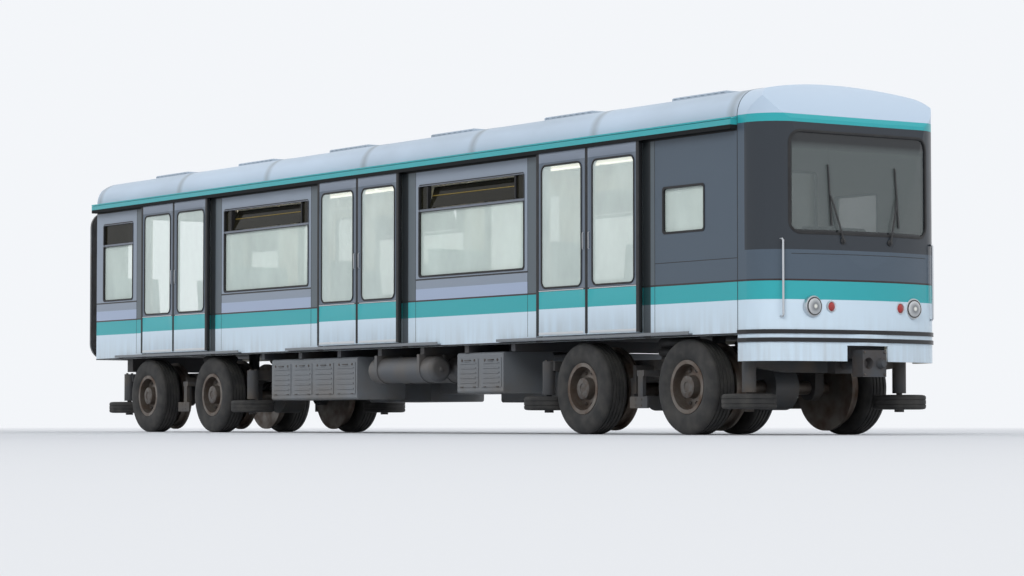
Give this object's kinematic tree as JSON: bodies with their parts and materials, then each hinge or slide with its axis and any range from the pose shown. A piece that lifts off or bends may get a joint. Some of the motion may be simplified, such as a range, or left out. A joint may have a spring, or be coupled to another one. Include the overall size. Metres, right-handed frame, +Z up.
{
  "type": "rubber-tyred metro car, end car with driving cab",
  "caption": "Metro end car on rubber load tyres with sliding doors hung outside, long glazed bays, a driving cab and an open gangway with bellows",
  "frame": {"origin": "on the running surface, midway between the gangway's coupling face and the front coupler's face, on the car's centre line", "axes": "+X towards the driving cab, +Y to the car's left, +Z up"},
  "size_m": [15.4, 2.48, 3.4798],
  "materials": {
    "bellows_rubber": "matte black folds",
    "bench_plastic": "moulded seats with pads",
    "body_paint": "satin paint in white, jade and grey bands",
    "bogie_steel": "dark grey paint under brake dust",
    "case_paint": "grey paint, dusty",
    "desk_plastic": "dark grey moulded plastic",
    "door_paint": "satin paint in white, jade and grey bands",
    "frame_steel": "dark grey paint",
    "gangway_steel": "mill finish",
    "guide_tyre": "smooth rubber",
    "interior_panel": "cream laminate",
    "lamp_lens": "frosted lens",
    "motor_paint": "dark grey paint",
    "pole_steel": "satin stainless",
    "roof_paint": "satin paint, dusty",
    "seat_fabric": "dark woven cloth",
    "spring_rubber": "matte black rubber",
    "tank_paint": "dark grey paint",
    "track_paint": "satin jade paint",
    "tyre": "ribbed rubber",
    "wheel_steel": "rolled steel with brake dust",
    "window_glass": "clear, slightly green",
    "window_rubber": "black rubber"
  },
  "bodies": {
    "car_body": {"air_tanks": "tank_paint", "bellows": "bellows_rubber", "benches": "bench_plastic", "cab_bulkhead": "interior_panel", "cab_desk": "desk_plastic", "cab_front": "body_paint", "ceiling": "interior_panel", "ceiling_lamps": "lamp_lens", "door_tracks": "track_paint", "drawbar": "frame_steel", "driver_seat": "seat_fabric", "equipment_cases": "case_paint", "front_coupler": "frame_steel", "gangway_end": "body_paint", "gangway_frame": "gangway_steel", "grab_poles": "pole_steel", "headlamps": "lamp_lens", "roof": "roof_paint", "side_glass": "window_glass", "side_left": "body_paint", "side_right": "body_paint", "underframe": "frame_steel", "window_frames": "window_rubber", "windscreen": "window_glass"},
    "bogie_front": {"air_springs_front": "spring_rubber", "bogie_front": "bogie_steel", "drives_front": "motor_paint"},
    "bogie_rear": {"air_springs_rear": "spring_rubber", "bogie_rear": "bogie_steel", "drives_rear": "motor_paint"},
    "axle_1": {"axle_1": "wheel_steel", "tyres_1": "tyre"},
    "axle_2": {"axle_2": "wheel_steel", "tyres_2": "tyre"},
    "axle_3": {"axle_3": "wheel_steel", "tyres_3": "tyre"},
    "axle_4": {"axle_4": "wheel_steel", "tyres_4": "tyre"},
    "cab_door": {"cab_door": "interior_panel"},
    "guide_wheel_1": {"guide_wheel_1": "guide_tyre"},
    "guide_wheel_2": {"guide_wheel_2": "guide_tyre"},
    "guide_wheel_3": {"guide_wheel_3": "guide_tyre"},
    "guide_wheel_4": {"guide_wheel_4": "guide_tyre"},
    "guide_wheel_5": {"guide_wheel_5": "guide_tyre"},
    "guide_wheel_6": {"guide_wheel_6": "guide_tyre"},
    "guide_wheel_7": {"guide_wheel_7": "guide_tyre"},
    "guide_wheel_8": {"guide_wheel_8": "guide_tyre"},
    "leaf_left_1_front": {"leaf_left_1_front": "door_paint"},
    "leaf_left_1_rear": {"leaf_left_1_rear": "door_paint"},
    "leaf_left_2_front": {"leaf_left_2_front": "door_paint"},
    "leaf_left_2_rear": {"leaf_left_2_rear": "door_paint"},
    "leaf_left_3_front": {"leaf_left_3_front": "door_paint"},
    "leaf_left_3_rear": {"leaf_left_3_rear": "door_paint"},
    "leaf_right_1_front": {"leaf_right_1_front": "door_paint"},
    "leaf_right_1_rear": {"leaf_right_1_rear": "door_paint"},
    "leaf_right_2_front": {"leaf_right_2_front": "door_paint"},
    "leaf_right_2_rear": {"leaf_right_2_rear": "door_paint"},
    "leaf_right_3_front": {"leaf_right_3_front": "door_paint"},
    "leaf_right_3_rear": {"leaf_right_3_rear": "door_paint"}
  },
  "joints": [
    {"name": "bogie_rear_yaw", "type": "hinge", "parent": "car_body", "child": "bogie_rear", "pos_m": [-4.825, 0, 0.7], "axis": [0, 0, 1], "range_deg": [-4, 4]},
    {"name": "axle_1_spin", "type": "hinge", "parent": "bogie_rear", "child": "axle_1", "pos_m": [-5.725, 0, 0.48], "axis": [0, 1, 0], "continuous": true},
    {"name": "guide_wheel_1_spin", "type": "hinge", "parent": "bogie_rear", "child": "guide_wheel_1", "pos_m": [-6.545, -0.97, 0.33], "axis": [0, 0, 1], "continuous": true},
    {"name": "guide_wheel_2_spin", "type": "hinge", "parent": "bogie_rear", "child": "guide_wheel_2", "pos_m": [-6.545, 0.97, 0.33], "axis": [0, 0, 1], "continuous": true},
    {"name": "axle_2_spin", "type": "hinge", "parent": "bogie_rear", "child": "axle_2", "pos_m": [-3.925, 0, 0.48], "axis": [0, 1, 0], "continuous": true},
    {"name": "guide_wheel_3_spin", "type": "hinge", "parent": "bogie_rear", "child": "guide_wheel_3", "pos_m": [-3.105, -0.97, 0.33], "axis": [0, 0, 1], "continuous": true},
    {"name": "guide_wheel_4_spin", "type": "hinge", "parent": "bogie_rear", "child": "guide_wheel_4", "pos_m": [-3.105, 0.97, 0.33], "axis": [0, 0, 1], "continuous": true},
    {"name": "bogie_front_yaw", "type": "hinge", "parent": "car_body", "child": "bogie_front", "pos_m": [5.175, 0, 0.7], "axis": [0, 0, 1], "range_deg": [-4, 4]},
    {"name": "axle_3_spin", "type": "hinge", "parent": "bogie_front", "child": "axle_3", "pos_m": [4.275, 0, 0.48], "axis": [0, 1, 0], "continuous": true},
    {"name": "guide_wheel_5_spin", "type": "hinge", "parent": "bogie_front", "child": "guide_wheel_5", "pos_m": [3.455, -0.97, 0.33], "axis": [0, 0, 1], "continuous": true},
    {"name": "guide_wheel_6_spin", "type": "hinge", "parent": "bogie_front", "child": "guide_wheel_6", "pos_m": [3.455, 0.97, 0.33], "axis": [0, 0, 1], "continuous": true},
    {"name": "axle_4_spin", "type": "hinge", "parent": "bogie_front", "child": "axle_4", "pos_m": [6.075, 0, 0.48], "axis": [0, 1, 0], "continuous": true},
    {"name": "guide_wheel_7_spin", "type": "hinge", "parent": "bogie_front", "child": "guide_wheel_7", "pos_m": [6.895, -0.97, 0.33], "axis": [0, 0, 1], "continuous": true},
    {"name": "guide_wheel_8_spin", "type": "hinge", "parent": "bogie_front", "child": "guide_wheel_8", "pos_m": [6.895, 0.97, 0.33], "axis": [0, 0, 1], "continuous": true},
    {"name": "door_right_1_slide", "type": "slide", "parent": "car_body", "child": "leaf_right_1_rear", "axis": [-1, 0, 0], "range_m": [0, 0.8]},
    {"name": "door_right_1_front_slide", "type": "slide", "parent": "car_body", "child": "leaf_right_1_front", "axis": [1, 0, 0], "range_m": [0, 0.8]},
    {"name": "door_right_2_slide", "type": "slide", "parent": "car_body", "child": "leaf_right_2_rear", "axis": [-1, 0, 0], "range_m": [0, 0.8]},
    {"name": "door_right_2_front_slide", "type": "slide", "parent": "car_body", "child": "leaf_right_2_front", "axis": [1, 0, 0], "range_m": [0, 0.8]},
    {"name": "door_right_3_slide", "type": "slide", "parent": "car_body", "child": "leaf_right_3_rear", "axis": [-1, 0, 0], "range_m": [0, 0.8]},
    {"name": "door_right_3_front_slide", "type": "slide", "parent": "car_body", "child": "leaf_right_3_front", "axis": [1, 0, 0], "range_m": [0, 0.8]},
    {"name": "door_left_1_slide", "type": "slide", "parent": "car_body", "child": "leaf_left_1_rear", "axis": [-1, 0, 0], "range_m": [0, 0.8]},
    {"name": "door_left_1_front_slide", "type": "slide", "parent": "car_body", "child": "leaf_left_1_front", "axis": [1, 0, 0], "range_m": [0, 0.8]},
    {"name": "door_left_2_slide", "type": "slide", "parent": "car_body", "child": "leaf_left_2_rear", "axis": [-1, 0, 0], "range_m": [0, 0.8]},
    {"name": "door_left_2_front_slide", "type": "slide", "parent": "car_body", "child": "leaf_left_2_front", "axis": [1, 0, 0], "range_m": [0, 0.8]},
    {"name": "door_left_3_slide", "type": "slide", "parent": "car_body", "child": "leaf_left_3_rear", "axis": [-1, 0, 0], "range_m": [0, 0.8]},
    {"name": "door_left_3_front_slide", "type": "slide", "parent": "car_body", "child": "leaf_left_3_front", "axis": [1, 0, 0], "range_m": [0, 0.8]},
    {"name": "cab_door_hinge", "type": "hinge", "parent": "car_body", "child": "cab_door", "pos_m": [5.59, -0.306, 2], "axis": [0, 0, 1], "range_deg": [0, 100]}
  ],
  "couplings": [
    {"joint": "door_right_1_front_slide", "follows": "door_right_1_slide", "ratio": 1},
    {"joint": "door_right_2_front_slide", "follows": "door_right_2_slide", "ratio": 1},
    {"joint": "door_right_3_front_slide", "follows": "door_right_3_slide", "ratio": 1},
    {"joint": "door_left_1_front_slide", "follows": "door_left_1_slide", "ratio": 1},
    {"joint": "door_left_2_front_slide", "follows": "door_left_2_slide", "ratio": 1},
    {"joint": "door_left_3_front_slide", "follows": "door_left_3_slide", "ratio": 1}
  ]
}
